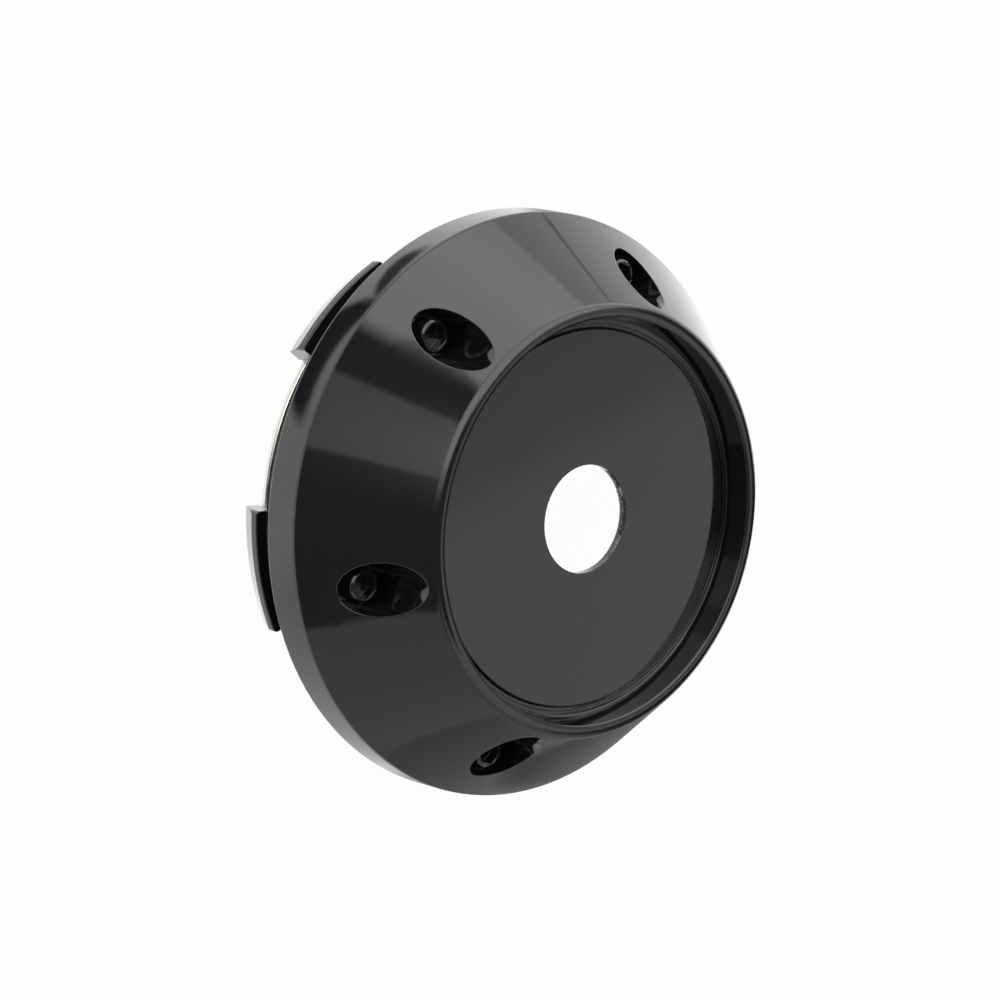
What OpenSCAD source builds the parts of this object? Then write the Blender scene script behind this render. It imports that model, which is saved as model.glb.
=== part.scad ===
/* [Rim and flank] */
// Diameter over the rim that covers the bore of the wheel
rim_d = 90; // [80:0.5:100]
// Height of the straight rim band above its back edge
rim_h = 6.0; // [5:0.25:6.5]
// How much narrower the rim band is at its front edge, on the radius
rim_draft = 0.15; // [0:0.05:0.3]
// Rounding of the crease between the rim band and the flank
crease_round = 0.9; // [0.3:0.1:1.2]
// Rounding of the rim's back edge
rim_round = 0.3; // [0.1:0.05:0.5]
// Thickness of the rim band's wall
rim_wall = 2.3; // [1.8:0.1:2.6]
// Fillet in the hollow where the seat meets the flank
hollow_fillet = 1.5; // [0.5:0.25:2]
// Thickness of the flank, measured along the radius
flank_wall = 2.6; // [2.2:0.1:2.8]
// How far the flank leans in from the crease to the lip, on the radius
flank_run = 12.7; // [12:0.05:13.2]

/* [Lip and recess] */
// Height of the lip's outer edge above the rim's back edge
lip_h = 22.9; // [22.2:0.05:23.6]
// Width of the lip's top from the flank to the recess
lip_w = 1.55; // [1.4:0.05:1.9]
// How much lower the lip's inner edge lies than its outer edge
lip_fall = 0.15; // [0:0.05:0.5]
// Rounding of the lip's outer edge
lip_round = 1.8; // [0.4:0.1:2]
// Rounding of the lip's inner edge
lip_inner_round = 0.35; // [0.2:0.05:0.45]
// How much the recess narrows from the lip to the ledge, on the radius
recess_draft = 0.7; // [0.1:0.05:0.9]
// How deep the ledge lies below the lip's outer edge
ledge_drop = 4.25; // [3.8:0.05:4.6]
// Width of the ledge at the foot of the recess
ledge_w = 0.7; // [0.5:0.05:1]
// Fillet between the ledge and the recess's wall
ledge_fillet = 0.2; // [0.1:0.05:0.4]
// Rounding of the ledge's inner edge
ledge_round = 0.1; // [0.05:0.05:0.15]
// Width of the groove between the ledge and the badge seat
groove_w = 0.8; // [0.65:0.05:1]
// Width of that groove's floor
groove_floor_w = 0.5; // [0.3:0.05:0.55]
// Depth of that groove below the badge seat
groove_depth = 0.6; // [0.3:0.05:0.8]
// How high the badge seat's floor lies above the ledge
seat_rise = 0.15; // [0:0.05:0.3]
// Rounding of the badge seat's edge
seat_round = 0.15; // [0.05:0.05:0.25]
// Thickness of the badge seat's floor
seat_t = 1.3; // [1.1:0.05:2]
// Diameter of the hole in the middle of the seat
hole_d = 16.4; // [12:0.2:18]

/* [Pockets with moulded bolt heads] */
// How far a pocket stays from the lip, on the radius
pocket_gap = 1; // [0.7:0.05:1.2]
// Diameter of a pocket
pocket_d = 8.1; // [7.6:0.1:8.4]
// Height of a pocket's floor above the rim's back edge
pocket_floor_h = 9; // [8.5:0.25:9.5]
// Wall left around and under a pocket on the hidden side
pocket_wall = 1.5; // [1.3:0.1:1.7]
// Diameter of a moulded bolt head
head_d = 5; // [4.4:0.1:5.4]
// Height of a moulded bolt head above the pocket's floor
head_h = 3.25; // [2:0.25:4]
// Bevel around the top of a bolt head
head_bevel = 0.3; // [0.1:0.05:0.4]
// Wall left between the hexagon's corners and the side of a bolt head
socket_wall = 0.45; // [0.35:0.05:0.8]
// Depth of that hexagon
socket_depth = 1.8; // [1:0.1:1.9]

/* [Snap clips] */
// How far the clips reach behind the rim's back edge
clip_drop = 11.25; // [10.5:0.25:13]
// Width of a clip as an angle around the axis
clip_angle = 26; // [18:1:32]
// How far the rim reaches over the clips' legs, to cover the edge of the wheel's bore
rim_over = 4.5; // [4.2:0.1:5]
// Thickness of a clip's leg
leg_t = 2.2; // [2:0.1:2.3]
// How far the hook stands out from the leg
hook_out = 1.8; // [1:0.1:2]
// Length of the sloping lead-in from the clip's end to the hook's tip
lead_in_h = 3.8; // [3:0.1:4.5]
// Length of the hook's flat tip
hook_land = 1.25; // [0.5:0.05:1.5]
// Rounding of the hook's edges
hook_round = 0.3; // [0.1:0.05:0.4]
// How far the hook's upright corners are cut back
hook_corner = 0.7; // [0.3:0.1:0.9]

/* [Retaining ring] */
// Thickness of the steel wire
wire_d = 1.25; // [1:0.05:1.4]
// Height of the wire's middle above the clips' ends
wire_h = 1.95; // [1.8:0.05:2.4]
// Play between the wire and its groove in the clips
wire_play = 0.05; // [0.02:0.01:0.08]
// Gap between the two ends of the wire as an angle
ring_gap_angle = 6; // [3:1:10]

/* [Hidden] */
$fn = 96;

pocket_count = 6;
rim_r = rim_d / 2;
crease_r = rim_r - rim_draft;
flank_slope = (lip_h - rim_h) / flank_run;
lip_r = crease_r - flank_run;
recess_r = lip_r - lip_w;
ledge_r = recess_r - recess_draft;
ledge_h = lip_h - ledge_drop;
groove_r = ledge_r - ledge_w;
seat_r = groove_r - groove_w;
seat_h = ledge_h + seat_rise;
groove_h = seat_h - groove_depth;
under_h = seat_h - seat_t;
pocket_pitch_r = lip_r + pocket_gap + pocket_d / 2;
cup_r = pocket_d / 2 + pocket_wall;
leg_r = rim_r - rim_over;
leg_inner_r = leg_r - leg_t;
hook_h = lead_in_h + hook_land;
// The wire's middle lies on the inner face of the legs, so its groove is half round
ring_r = leg_inner_r - 0.05;

// Height of the flank's outer face at a radius
function flank_h(r) = rim_h + (crease_r - r) * flank_slope;
// Radius of the flank's outer face at a height
function flank_r(h) = crease_r - (h - rim_h) / flank_slope;
// Unit direction from one point to another
function dir(a, b) = (b - a) / norm(b - a);
// Half of the angle at corner p between the sides to a and b
function half_angle(p, a, b) = acos(dir(p, a) * dir(p, b)) / 2;
// Middle of the circle that rounds this corner
function round_mid(p, a, b, r) =
    p + dir([0, 0], dir(p, a) + dir(p, b)) * r / sin(half_angle(p, a, b));
// Which way the rounding turns, 1 or -1
function turn(p, a, b) = sign(cross(b - p, a - p));
// Points along the rounding, from the side towards a to the side towards b
function arc(p, a, b, r) =
    let (
        mid = round_mid(p, a, b, r),
        first = p + dir(p, a) * r / tan(half_angle(p, a, b)) - mid,
        start = atan2(first[1], first[0]),
        sweep = turn(p, a, b) * (180 - 2 * half_angle(p, a, b)),
        steps = 3 + ceil(3 * r)
    )
    [for (k = [0 : steps]) mid + r * [cos(start + sweep * k / steps), sin(start + sweep * k / steps)]];

// Polygon whose corners are rounded by the radii in rounds, 0 for a sharp one
module rounded(points, rounds) {
    n = len(points);
    polygon([
        for (i = [0 : n - 1])
            each rounds[i] == 0
                ? [points[i]]
                : arc(points[i], points[(i + n - 1) % n], points[(i + 1) % n], rounds[i])
    ]);
}

// Half section of the shell from the hole to the rim, height 0 at the rim's back edge
module shell_section() {
    hollow_r = rim_r - rim_wall;
    rounded(
        [
            [hole_d / 2, under_h],
            [flank_r(under_h) - flank_wall, under_h],
            [hollow_r, flank_h(hollow_r + flank_wall)],
            [hollow_r, 0],
            [rim_r, 0],
            [crease_r, rim_h],
            [lip_r, lip_h],
            [recess_r, lip_h - lip_fall],
            [ledge_r, ledge_h],
            [groove_r, ledge_h],
            [groove_r, groove_h],
            [groove_r - groove_floor_w, groove_h],
            [seat_r, seat_h],
            [hole_d / 2, seat_h]
        ],
        [
            0, hollow_fillet, 0, 0,
            rim_round, crease_round, lip_round, lip_inner_round,
            ledge_fillet, ledge_round, 0, 0,
            seat_round, 0
        ]
    );
}

// Round cups that close the pockets behind, ending inside the flank's wall
module pocket_cups() {
    low_h = pocket_floor_h - pocket_wall;
    high_h = under_h + seat_t / 2;
    intersection() {
        rotate_extrude() polygon([
            [0, low_h],
            [flank_r(low_h) - flank_wall / 2, low_h],
            [flank_r(high_h) - flank_wall / 2, high_h],
            [0, high_h]
        ]);
        for (i = [0 : pocket_count - 1]) {
            rotate([0, 0, i * 360 / pocket_count])
                translate([pocket_pitch_r, 0, low_h - 1])
                    cylinder(r = cup_r, h = high_h - low_h + 2);
        }
    }
}

// One clip as a half section, height 0 at its end
module clip_section() {
    tip_r = leg_r + hook_out;
    rounded(
        [
            [leg_inner_r, 0],
            [leg_r, 0],
            [tip_r, lead_in_h],
            [tip_r, hook_h],
            [leg_r, hook_h],
            [leg_r, clip_drop + flank_h(leg_r + flank_wall / 2)],
            [leg_inner_r, clip_drop + flank_h(leg_inner_r + flank_wall / 2)]
        ],
        [0, hook_round, hook_round, hook_round, 0, 0, 0]
    );
}

// What is taken off the upright corner at the end of a hook, whose side face lies along X
module hook_corner_cut() {
    tip_r = leg_r + hook_out;
    c = hook_corner;
    translate([0, 0, -1]) linear_extrude(hook_h + 2)
        polygon([
            [tip_r - 1.25 * c, 0.07 * c],
            [tip_r - 0.5 * c, -0.13 * c],
            [tip_r - 0.13 * c, -0.5 * c],
            [tip_r + 0.07 * c, -1.25 * c],
            [tip_r + 1, -1.25 * c],
            [tip_r + 1, 1],
            [tip_r - 1.25 * c, 1]
        ]);
}

// Snap clips, one below each pocket, with the groove for the wire
module clips() {
    difference() {
        for (i = [0 : pocket_count - 1]) {
            rotate([0, 0, i * 360 / pocket_count - clip_angle / 2])
                rotate_extrude(angle = clip_angle) clip_section();
        }
        rotate_extrude() translate([ring_r, wire_h]) circle(d = wire_d + 2 * wire_play);
        for (i = [0 : pocket_count - 1]) {
            rotate([0, 0, i * 360 / pocket_count + clip_angle / 2]) hook_corner_cut();
            rotate([0, 0, i * 360 / pocket_count - clip_angle / 2])
                mirror([0, 1, 0]) hook_corner_cut();
        }
    }
}

// Bolt head moulded in each pocket, with a hexagon in its top
module bolt_heads() {
    for (i = [0 : pocket_count - 1]) {
        rotate([0, 0, i * 360 / pocket_count])
            translate([pocket_pitch_r, 0, clip_drop + pocket_floor_h]) {
                difference() {
                    union() {
                        translate([0, 0, -0.5]) cylinder(d = head_d, h = head_h + 0.5 - head_bevel);
                        translate([0, 0, head_h - head_bevel])
                            cylinder(d1 = head_d, d2 = head_d - 2 * head_bevel, h = head_bevel);
                    }
                    translate([0, 0, head_h - socket_depth])
                        rotate([0, 0, 30])
                            cylinder(d = head_d - 2 * socket_wall, h = socket_depth + 1, $fn = 6);
                }
            }
    }
}

// The moulded cap: rim, flank, lip, badge seat, pockets and clips in one piece
module cap() {
    color([0.035, 0.035, 0.04]) {
        difference() {
            union() {
                translate([0, 0, clip_drop]) rotate_extrude() shell_section();
                translate([0, 0, clip_drop]) pocket_cups();
                clips();
            }
            for (i = [0 : pocket_count - 1]) {
                rotate([0, 0, i * 360 / pocket_count])
                    translate([pocket_pitch_r, 0, clip_drop + pocket_floor_h])
                        cylinder(d = pocket_d, h = lip_h);
            }
        }
        bolt_heads();
    }
}

// Split ring of spring wire that presses the clips outwards
module retaining_ring() {
    color([0.75, 0.75, 0.76])
        rotate([0, 0, 300 + ring_gap_angle / 2])
            rotate_extrude(angle = 360 - ring_gap_angle)
                translate([ring_r, wire_h]) circle(d = wire_d);
}

cap();
retaining_ring();
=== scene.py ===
import bmesh
import bpy
import math
import random
from mathutils import Matrix, Vector


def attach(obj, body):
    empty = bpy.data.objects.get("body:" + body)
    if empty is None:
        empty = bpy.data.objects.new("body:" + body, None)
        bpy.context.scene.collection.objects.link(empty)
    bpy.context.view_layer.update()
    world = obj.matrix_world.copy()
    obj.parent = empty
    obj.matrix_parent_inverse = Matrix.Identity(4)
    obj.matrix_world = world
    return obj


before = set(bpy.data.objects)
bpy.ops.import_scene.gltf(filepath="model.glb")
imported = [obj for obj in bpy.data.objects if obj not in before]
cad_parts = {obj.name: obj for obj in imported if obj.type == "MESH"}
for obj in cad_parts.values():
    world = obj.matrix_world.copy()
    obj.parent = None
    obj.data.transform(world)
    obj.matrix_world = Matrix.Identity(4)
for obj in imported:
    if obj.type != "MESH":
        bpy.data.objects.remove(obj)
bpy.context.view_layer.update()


# small helpers
def newMaterial(name):
    mat = bpy.data.materials.new(name)
    mat.use_nodes = True
    mat.node_tree.nodes.clear()
    return mat, mat.node_tree


def addNode(tree, kind, **settings):
    node = tree.nodes.new(kind)
    for key, value in settings.items():
        setattr(node, key, value)
    return node


def feed(tree, target, value):
    # a number, a colour or another node's output into a socket
    if isinstance(value, bpy.types.NodeSocket):
        tree.links.new(value, target)
    else:
        target.default_value = value


def mathNode(tree, operation, a, b=None, c=None):
    node = addNode(tree, "ShaderNodeMath", operation=operation)
    for socket, value in zip(node.inputs, (a, b, c)):
        if value is not None:
            feed(tree, socket, value)
    return node.outputs[0]


def remap(tree, value, low, high, outLow=0.0, outHigh=1.0, kind="SMOOTHSTEP"):
    node = addNode(tree, "ShaderNodeMapRange", interpolation_type=kind, clamp=True)
    for socket, number in zip(node.inputs[:5], (value, low, high, outLow, outHigh)):
        feed(tree, socket, number)
    return node.outputs[0]


def noise(tree, scale, detail=2.0, coords=None):
    # without coords it runs on the generated ones
    node = addNode(tree, "ShaderNodeTexNoise")
    node.inputs["Scale"].default_value = scale
    node.inputs["Detail"].default_value = detail
    if coords is not None:
        tree.links.new(coords, node.inputs["Vector"])
    return node.outputs["Fac"]


def spread(tree, grain, low, high, kind="SMOOTHSTEP"):
    # noise stays mostly between 0.3 and 0.7
    return remap(tree, grain, 0.3, 0.7, low, high, kind)


def mixColours(tree, share, first, second):
    node = addNode(tree, "ShaderNodeMixRGB")
    for name, value in (("Fac", share), ("Color1", first), ("Color2", second)):
        feed(tree, node.inputs[name], value)
    return node.outputs[0]


def objectCoords(tree):
    return addNode(tree, "ShaderNodeTexCoord").outputs["Object"]


def finishTree(tree, shader, kind="ShaderNodeOutputMaterial"):
    output = addNode(tree, kind)
    tree.links.new(shader.outputs[0], output.inputs["Surface"])


def addToScene(name, data):
    thing = bpy.data.objects.new(name, data)
    bpy.context.scene.collection.objects.link(thing)
    return thing


# camera
cameraSet = {
    "place": (-0.280218, 0.134864, 0.353029),
    "right": (0.744915, -0.118848, 0.656488),  # picture's right in the part's frame
    "up": (0.279351, 0.949155, -0.145148),
    "back": (-0.605858, 0.291514, 0.740240),
    "sensor": 36.0,
    "lens": 108.28,
    "clip": (0.01, 20.0),
}


def makeCamera():
    data = bpy.data.cameras.new("camera")
    data.sensor_width = cameraSet["sensor"]
    data.sensor_fit = "HORIZONTAL"
    data.lens = cameraSet["lens"]
    data.clip_start, data.clip_end = cameraSet["clip"]
    cam = addToScene("camera", data)
    turn = Matrix([cameraSet["right"], cameraSet["up"], cameraSet["back"]]).transposed()
    cam.matrix_world = Matrix.Translation(cameraSet["place"]) @ turn.to_4x4()
    bpy.context.scene.camera = cam


makeCamera()
print("camera placed")


# studio
studio = {
    "floorRadius": 3.0,
    "floorRings": 6,
    "floorSpokes": 48,
    "floorWhite": 0.975,     # share of the floor's white that no shadow takes away
    "paper": (0.86, 0.90),   # the paper's own grey, between which its grain varies
    "paperGrain": 900.0,
    "room": 0.11,            # light of the room between the cards
    # cards of light all round: azimuths and elevations in degrees with soft edges, strength;
    # a card with a lean has its upright edges slanted by so much per degree of elevation
    "cards": [
        {"az": (20, 106.5), "soft": (8, 4), "el": (-30, 24), "softEl": 6, "strength": 1.30},
        {"az": (20, 106.5), "soft": (8, 4), "el": (3, 24), "softEl": 5, "strength": 0.52},
        {"az": (20, 150), "soft": (12, 20), "el": (27, 72), "softEl": 6, "strength": 1.85},
        {"az": (124.5, 150.5), "soft": (1.5, 1.0), "el": (11, 27), "softEl": 1.5, "strength": 0.47},
        {"az": (104, 214), "soft": (2, 4), "el": (-30, 11), "softEl": 3, "strength": 0.47},
        {"az": (211, 300), "soft": (1.2, 12), "el": (-30, 41), "softEl": 4, "strength": 0.36},
        {"az": (-10, 20), "soft": (6, 10), "el": (-30, 14), "softEl": 6, "strength": 0.80},
        {"az": (238, 336.6), "soft": (20, 0.7), "el": (40.5, 60), "softEl": 2.5,
         "strength": 0.59, "lean": 1.13},
        {"az": (-23.4, 20), "soft": (0.7, 10), "el": (40.5, 60), "softEl": 2.5,
         "strength": 0.385, "lean": 1.13},
        # takes light away, as a black flag does
        {"az": (-48, 2), "soft": (8, 6), "el": (-30, 31), "softEl": 5, "strength": -0.085},
    ],
    "leanFrom": 46.2,        # elevation at which a leaning card has its stated azimuths
    # places on the floor with painted shade that only the plastic's reflections show: middle,
    # half axes, turn, soft share of the edge, depth
    "paintedShadePlaces": [
        {"at": (-0.0349, 0.0426), "size": (0.0170, 0.0026), "turn": 40, "soft": 0.22, "depth": 0.97},
        {"at": (-0.0130, 0.0537), "size": (0.0090, 0.0012), "turn": 5, "soft": 0.40, "depth": 0.9},
        {"at": (0.0275, 0.0385), "size": (0.0065, 0.0065), "turn": 0, "soft": 0.60, "depth": 0.70},
        {"at": (-0.0450, -0.0270), "size": (0.0340, 0.0120), "turn": -52, "soft": 0.50, "depth": 0.32},
        {"at": (0.0300, -0.0800), "size": (0.0500, 0.0280), "turn": 73, "soft": 0.50, "depth": 0.86},
        {"at": (0.300, -1.650), "size": (1.500, 1.520), "turn": 0, "soft": 0.012, "depth": 0.60},
    ],
    # straight strips of painted shade that only the plastic's reflections show: start, a point
    # that they point at, half width, soft edge, length over which they set in, depth
    "paintedShadeStrips": [
        {"from": (0.100, 0.1086), "to": (0.420, 0.303),
         "half": 0.0022, "soft": 0.0015, "rise": 0.02, "depth": 0.55},
        {"from": (0.0520, -0.0315), "to": (-0.0881, -0.6965),
         "half": 0.070, "soft": 0.008, "rise": 0.006, "depth": 0.68},
        {"from": (0.0308, -0.0221), "to": (0.651, -0.248),
         "half": 0.028, "soft": 0.006, "rise": 0.010, "depth": 0.96},
    ],
}


def cardLight(tree, card, azimuth, elevation):
    middle = (card["az"][0] + card["az"][1]) / 2
    half = (card["az"][1] - card["az"][0]) / 2
    if "lean" in card:
        rise = mathNode(tree, "SUBTRACT", elevation, studio["leanFrom"])
        azimuth = mathNode(tree, "ADD", azimuth, mathNode(tree, "MULTIPLY", rise, card["lean"]))
    # angle from the card's middle, wrapped to -180 to 180
    away = mathNode(tree, "WRAP", mathNode(tree, "SUBTRACT", azimuth, middle), 180.0, -180.0)
    left, right = card["soft"]
    low, high = card["el"]
    edge = card["softEl"]
    lit = mathNode(tree, "MULTIPLY", remap(tree, away, -half - left, -half + left), card["strength"])
    for side in (
        remap(tree, away, half - right, half + right, 1.0, 0.0),
        remap(tree, elevation, low - edge, low + edge),
        remap(tree, elevation, high - edge, high + edge, 1.0, 0.0),
    ):
        lit = mathNode(tree, "MULTIPLY", lit, side)
    return lit


def makeWorld():
    world = bpy.data.worlds.new("studio")
    bpy.context.scene.world = world
    world.use_nodes = True
    tree = world.node_tree
    tree.nodes.clear()
    coords = addNode(tree, "ShaderNodeTexCoord")
    parts = addNode(tree, "ShaderNodeSeparateXYZ")
    tree.links.new(coords.outputs["Generated"], parts.inputs[0])
    x, y, z = parts.outputs
    azimuth = mathNode(tree, "DEGREES", mathNode(tree, "ARCTAN2", y, x))  # -180 to 180
    elevation = mathNode(tree, "DEGREES", mathNode(tree, "ARCSINE", z))
    lights = [cardLight(tree, card, azimuth, elevation) for card in studio["cards"]]
    total = lights[0]
    for light in lights[1:]:
        total = mathNode(tree, "ADD", total, light)
    total = mathNode(tree, "ADD", total, studio["room"])
    background = addNode(tree, "ShaderNodeBackground")
    background.inputs["Color"].default_value = (1.0, 1.0, 1.0, 1.0)
    tree.links.new(total, background.inputs["Strength"])
    finishTree(tree, background, "ShaderNodeOutputWorld")


def paintedShadeOnFloor(tree, place):
    # painted shade for reflections: the place's depth inside the turned ellipse, 0 outside, with a
    # soft edge
    turned = addNode(tree, "ShaderNodeMapping", vector_type="TEXTURE")
    turned.inputs["Location"].default_value = (*place["at"], 0.0)
    turned.inputs["Rotation"].default_value = (0.0, 0.0, math.radians(place["turn"]))
    turned.inputs["Scale"].default_value = (*place["size"], 1.0)
    tree.links.new(objectCoords(tree), turned.inputs["Vector"])
    distance = addNode(tree, "ShaderNodeVectorMath", operation="LENGTH")
    tree.links.new(turned.outputs[0], distance.inputs[0])
    soft = place["soft"]
    return remap(tree, distance.outputs["Value"], 1 - soft, 1 + soft, place["depth"], 0.0)


def stripOfPaintedShade(tree, strip):
    # painted shade for reflections: the strip's depth inside it, 0 beside it and before its start
    start, end = Vector(strip["from"]), Vector(strip["to"])
    along = (end - start).normalized()
    shifted = addNode(tree, "ShaderNodeVectorMath", operation="SUBTRACT")
    tree.links.new(objectCoords(tree), shifted.inputs[0])
    shifted.inputs[1].default_value = (*start, 0.0)
    values = []
    for axis in ((-along.y, along.x, 0.0), (along.x, along.y, 0.0)):
        dot = addNode(tree, "ShaderNodeVectorMath", operation="DOT_PRODUCT")
        tree.links.new(shifted.outputs[0], dot.inputs[0])
        dot.inputs[1].default_value = axis
        values.append(dot.outputs["Value"])
    across = mathNode(tree, "ABSOLUTE", values[0])
    half, soft = strip["half"], strip["soft"]
    inside = remap(tree, across, half - soft, half + soft, strip["depth"], 0.0)
    return mathNode(tree, "MULTIPLY", inside, remap(tree, values[1], 0.0, strip["rise"]))


def makeFloorMesh():
    # a round sheet whose edge stays far from the part
    rings, spokes = studio["floorRings"], studio["floorSpokes"]
    verts = [(0.0, 0.0, 0.0)]
    for ring in range(1, rings + 1):
        r = studio["floorRadius"] * (ring / rings) ** 2
        for s in range(spokes):
            turn = 2 * math.pi * s / spokes
            verts.append((r * math.cos(turn), r * math.sin(turn), 0.0))
    faces = [(0, 1 + s, 1 + (s + 1) % spokes) for s in range(spokes)]
    for ring in range(1, rings):
        a, b = 1 + (ring - 1) * spokes, 1 + ring * spokes
        for s in range(spokes):
            t = (s + 1) % spokes
            faces.append((a + s, b + s, b + t, a + t))
    mesh = bpy.data.meshes.new("floor")
    mesh.from_pydata(verts, [], faces)
    return mesh


def makePaper():
    mat, tree = newMaterial("paper")
    diffuse = addNode(tree, "ShaderNodeBsdfDiffuse")
    grey = spread(tree, noise(tree, studio["paperGrain"]), *studio["paper"], "LINEAR")
    tree.links.new(grey, diffuse.inputs["Color"])
    rays = addNode(tree, "ShaderNodeLightPath").outputs
    # what the gloss mirrors: white, with painted shade at the stated places and strips
    depths = [paintedShadeOnFloor(tree, place) for place in studio["paintedShadePlaces"]]
    depths += [stripOfPaintedShade(tree, strip) for strip in studio["paintedShadeStrips"]]
    deepestPaintedShade = depths[0]
    for depth in depths[1:]:
        deepestPaintedShade = mathNode(tree, "MAXIMUM", deepestPaintedShade, depth)
    mirrored = mathNode(tree, "SUBTRACT", 1.0, deepestPaintedShade)
    mirrored = mathNode(tree, "MULTIPLY", mirrored, rays["Is Glossy Ray"])
    seen = mathNode(tree, "MAXIMUM", rays["Is Camera Ray"], rays["Is Transmission Ray"])
    glow = addNode(tree, "ShaderNodeEmission")
    tree.links.new(mathNode(tree, "MAXIMUM", seen, mirrored), glow.inputs["Strength"])
    share = mathNode(tree, "MAXIMUM", seen, rays["Is Glossy Ray"])
    mix = addNode(tree, "ShaderNodeMixShader")
    tree.links.new(mathNode(tree, "MULTIPLY", share, studio["floorWhite"]), mix.inputs[0])
    tree.links.new(diffuse.outputs[0], mix.inputs[1])
    tree.links.new(glow.outputs[0], mix.inputs[2])
    finishTree(tree, mix)
    return mat


def makeFloor():
    mesh = makeFloorMesh()
    mesh.materials.append(makePaper())
    floor = addToScene("floor", mesh)


makeWorld()
makeFloor()
bpy.context.scene.view_settings.view_transform = "Standard"
print("studio lit")


# black plastic
blackPlastic = {
    "colour": (0.0062, 0.0071, 0.0080, 1.0),
    "paler": 1.35,           # how much lighter the mottle's pale spots are
    "mottleScale": 90.0,
    "mottleDetail": 4.0,
    "roughness": (0.05, 0.09),
    "ior": 1.6,
    "skinIor": 1.3,          # thin gloss skin over the moulding
    "skinRoughness": 0.04,
    "edge": 0.00022,         # radius that softens the sharp edges
    "edgeSamples": 6,
    "dust": (0.16, 0.16, 0.15, 1.0),
    "dustScale": 1500.0,
    "dustFrom": 0.70,        # how rare the specks of dust are, higher is rarer
    "dustEdge": 0.05,
    "dustShare": 0.10,
    "waves": 0.00003,        # height of the moulding's long waves
    "waveScale": 60.0,
    "skin": 0.000002,        # height of its finest grain
    "skinScale": 1400.0,
}


def bumpNode(tree, height, distance, normal):
    node = addNode(tree, "ShaderNodeBump")
    node.inputs["Distance"].default_value = distance
    node.inputs["Strength"].default_value = 1.0
    tree.links.new(height, node.inputs["Height"])
    tree.links.new(normal, node.inputs["Normal"])
    return node.outputs[0]


def makeBlackPlastic():
    look = blackPlastic
    mat, tree = newMaterial("glossBlackPlastic")
    bsdf = addNode(tree, "ShaderNodeBsdfPrincipled")
    bsdf.inputs["IOR"].default_value = look["ior"]
    bsdf.inputs["Coat Weight"].default_value = 1.0
    bsdf.inputs["Coat IOR"].default_value = look["skinIor"]
    bsdf.inputs["Coat Roughness"].default_value = look["skinRoughness"]
    coords = objectCoords(tree)
    mottle = noise(tree, look["mottleScale"], look["mottleDetail"], coords)
    tree.links.new(spread(tree, mottle, *look["roughness"]), bsdf.inputs["Roughness"])
    pale = [c * look["paler"] for c in look["colour"][:3]] + [1.0]
    tint = mixColours(tree, mottle, look["colour"], pale)
    specks = noise(tree, look["dustScale"], coords=coords)
    start = look["dustFrom"]
    share = remap(tree, specks, start, start + look["dustEdge"], 0.0, look["dustShare"])
    tree.links.new(mixColours(tree, share, tint, look["dust"]), bsdf.inputs["Base Color"])
    softEdge = addNode(tree, "ShaderNodeBevel", samples=look["edgeSamples"])
    softEdge.inputs["Radius"].default_value = look["edge"]
    waves = noise(tree, look["waveScale"], 1.0, coords)
    normal = bumpNode(tree, waves, look["waves"], softEdge.outputs[0])
    grain = noise(tree, look["skinScale"], coords=coords)
    normal = bumpNode(tree, grain, look["skin"], normal)
    for socket in ("Normal", "Coat Normal"):
        tree.links.new(normal, bsdf.inputs[socket])
    finishTree(tree, bsdf)
    return mat


# spring wire
springWire = {
    "colour": (0.88, 0.86, 0.80, 1.0),
    "roughness": (0.14, 0.30),
    "streakScale": 400.0,
}


def makeSpringWire():
    look = springWire
    mat, tree = newMaterial("drawnSteelWire")
    bsdf = addNode(tree, "ShaderNodeBsdfPrincipled")
    bsdf.inputs["Metallic"].default_value = 1.0
    bsdf.inputs["Base Color"].default_value = look["colour"]
    streaks = noise(tree, look["streakScale"], coords=objectCoords(tree))
    tree.links.new(spread(tree, streaks, *look["roughness"]), bsdf.inputs["Roughness"])
    finishTree(tree, bsdf)
    return mat


# moulding flash left around the hole
flash = {
    "holeRadius": 0.0082,
    "top": 0.03005,
    "depth": 0.0013,
    "from": -86,             # azimuths in degrees between which the wall is rough
    "to": 48,
    "step": 1.5,
    "reach": 0.00062,        # how far the roughest flakes stand into the hole
    "least": 0.12,           # share of it that the rest of the wall has
    "uneven": (0.35, 1.0),   # random share that a flake has of its peak
    "sunk": 0.00006,         # how deep its roots lie in the wall
    "ridge": (0.15, 0.55),   # shares of the wall's height at which flakes reach furthest
    "foot": (0.55, 0.97),    # and at which they end
    "sway": 0.4,             # degrees by which points stray along the wall
    # where flakes are strongest: azimuth, width in degrees, share
    "peaks": ((14.0, 7.0, 1.0), (-37.0, 11.0, 0.85), (-8.0, 5.0, 0.25), (36.0, 6.0, 0.3)),
    "seed": 11,
    "ior": 1.5,
    "roughness": (0.25, 0.6),
    "torn": (0.030, 0.030, 0.030, 1.0),
    "whitened": (0.30, 0.30, 0.29, 1.0),  # plastic pales where it is torn thin
    "paleFrom": (0.40, 0.62),  # noise values between which it goes from torn to whitened
    "patches": 260.0,
}


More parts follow.
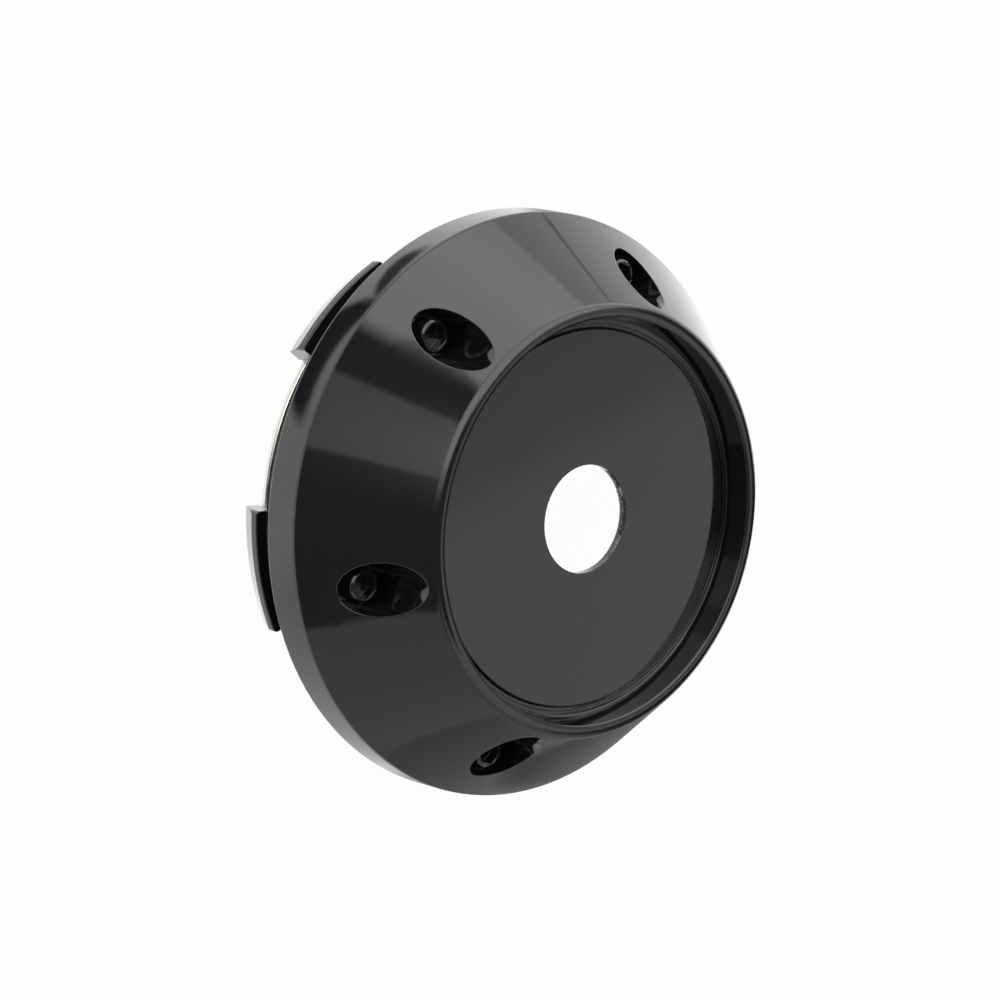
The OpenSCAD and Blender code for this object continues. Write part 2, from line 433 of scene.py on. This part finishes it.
def makeTornPlastic():
    look = flash
    mat, tree = newMaterial("tornPlastic")
    bsdf = addNode(tree, "ShaderNodeBsdfPrincipled")
    bsdf.inputs["IOR"].default_value = look["ior"]
    patches = noise(tree, look["patches"], coords=objectCoords(tree))
    pale = remap(tree, patches, *look["paleFrom"])
    tree.links.new(mixColours(tree, pale, look["torn"], look["whitened"]), bsdf.inputs["Base Color"])
    tree.links.new(spread(tree, patches, *look["roughness"]), bsdf.inputs["Roughness"])
    finishTree(tree, bsdf)
    return mat


def makeFlash(mat):
    look = flash
    rng = random.Random(look["seed"])
    hole = look["holeRadius"]
    count = int((look["to"] - look["from"]) / look["step"])
    verts = []
    for i in range(count + 1):
        az = look["from"] + i * look["step"]
        size = sum(tall * math.exp(-((az - at) / wide) ** 2) for at, wide, tall in look["peaks"])
        ends = min(i, count - i, 3) / 3
        reach = look["reach"] * ends * (look["least"] + size * rng.uniform(*look["uneven"]))
        ridge = rng.uniform(*look["ridge"])
        foot = rng.uniform(*look["foot"])
        section = (
            (hole + look["sunk"], 0.02),
            (hole - reach * 0.55, 0.05 + 0.1 * rng.random()),
            (hole - reach, ridge),
            (hole - reach * rng.uniform(0.1, 0.5), (ridge + foot) / 2),
            (hole + look["sunk"], foot),
        )
        for r, down in section:
            turn = math.radians(az + rng.uniform(-look["sway"], look["sway"]))
            verts.append((r * math.cos(turn), r * math.sin(turn), look["top"] - look["depth"] * down))
    rows = len(section)
    faces = []
    for i in range(count):
        for k in range(rows):
            a, b = i * rows + k, i * rows + (k + 1) % rows
            faces.append((a, b, b + rows, a + rows))
    faces.append(tuple(range(rows)))
    faces.append(tuple(reversed(range(count * rows, (count + 1) * rows))))
    mesh = bpy.data.meshes.new("hole_flash")
    mesh.from_pydata(verts, [], faces)
    mesh.materials.append(mat)
    mesh.update()
    bm = bmesh.new()
    bm.from_mesh(mesh)
    bmesh.ops.recalc_face_normals(bm, faces=bm.faces)
    bm.to_mesh(mesh)
    bm.free()
    piece = addToScene("hole_flash", mesh)
    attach(piece, "root")


def paint(node, mat):
    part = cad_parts[node]
    part.data.materials.clear()
    part.data.materials.append(mat)


paint("cap", makeBlackPlastic())
makeFlash(makeTornPlastic())
paint("retaining_ring", makeSpringWire())
print("materials set")
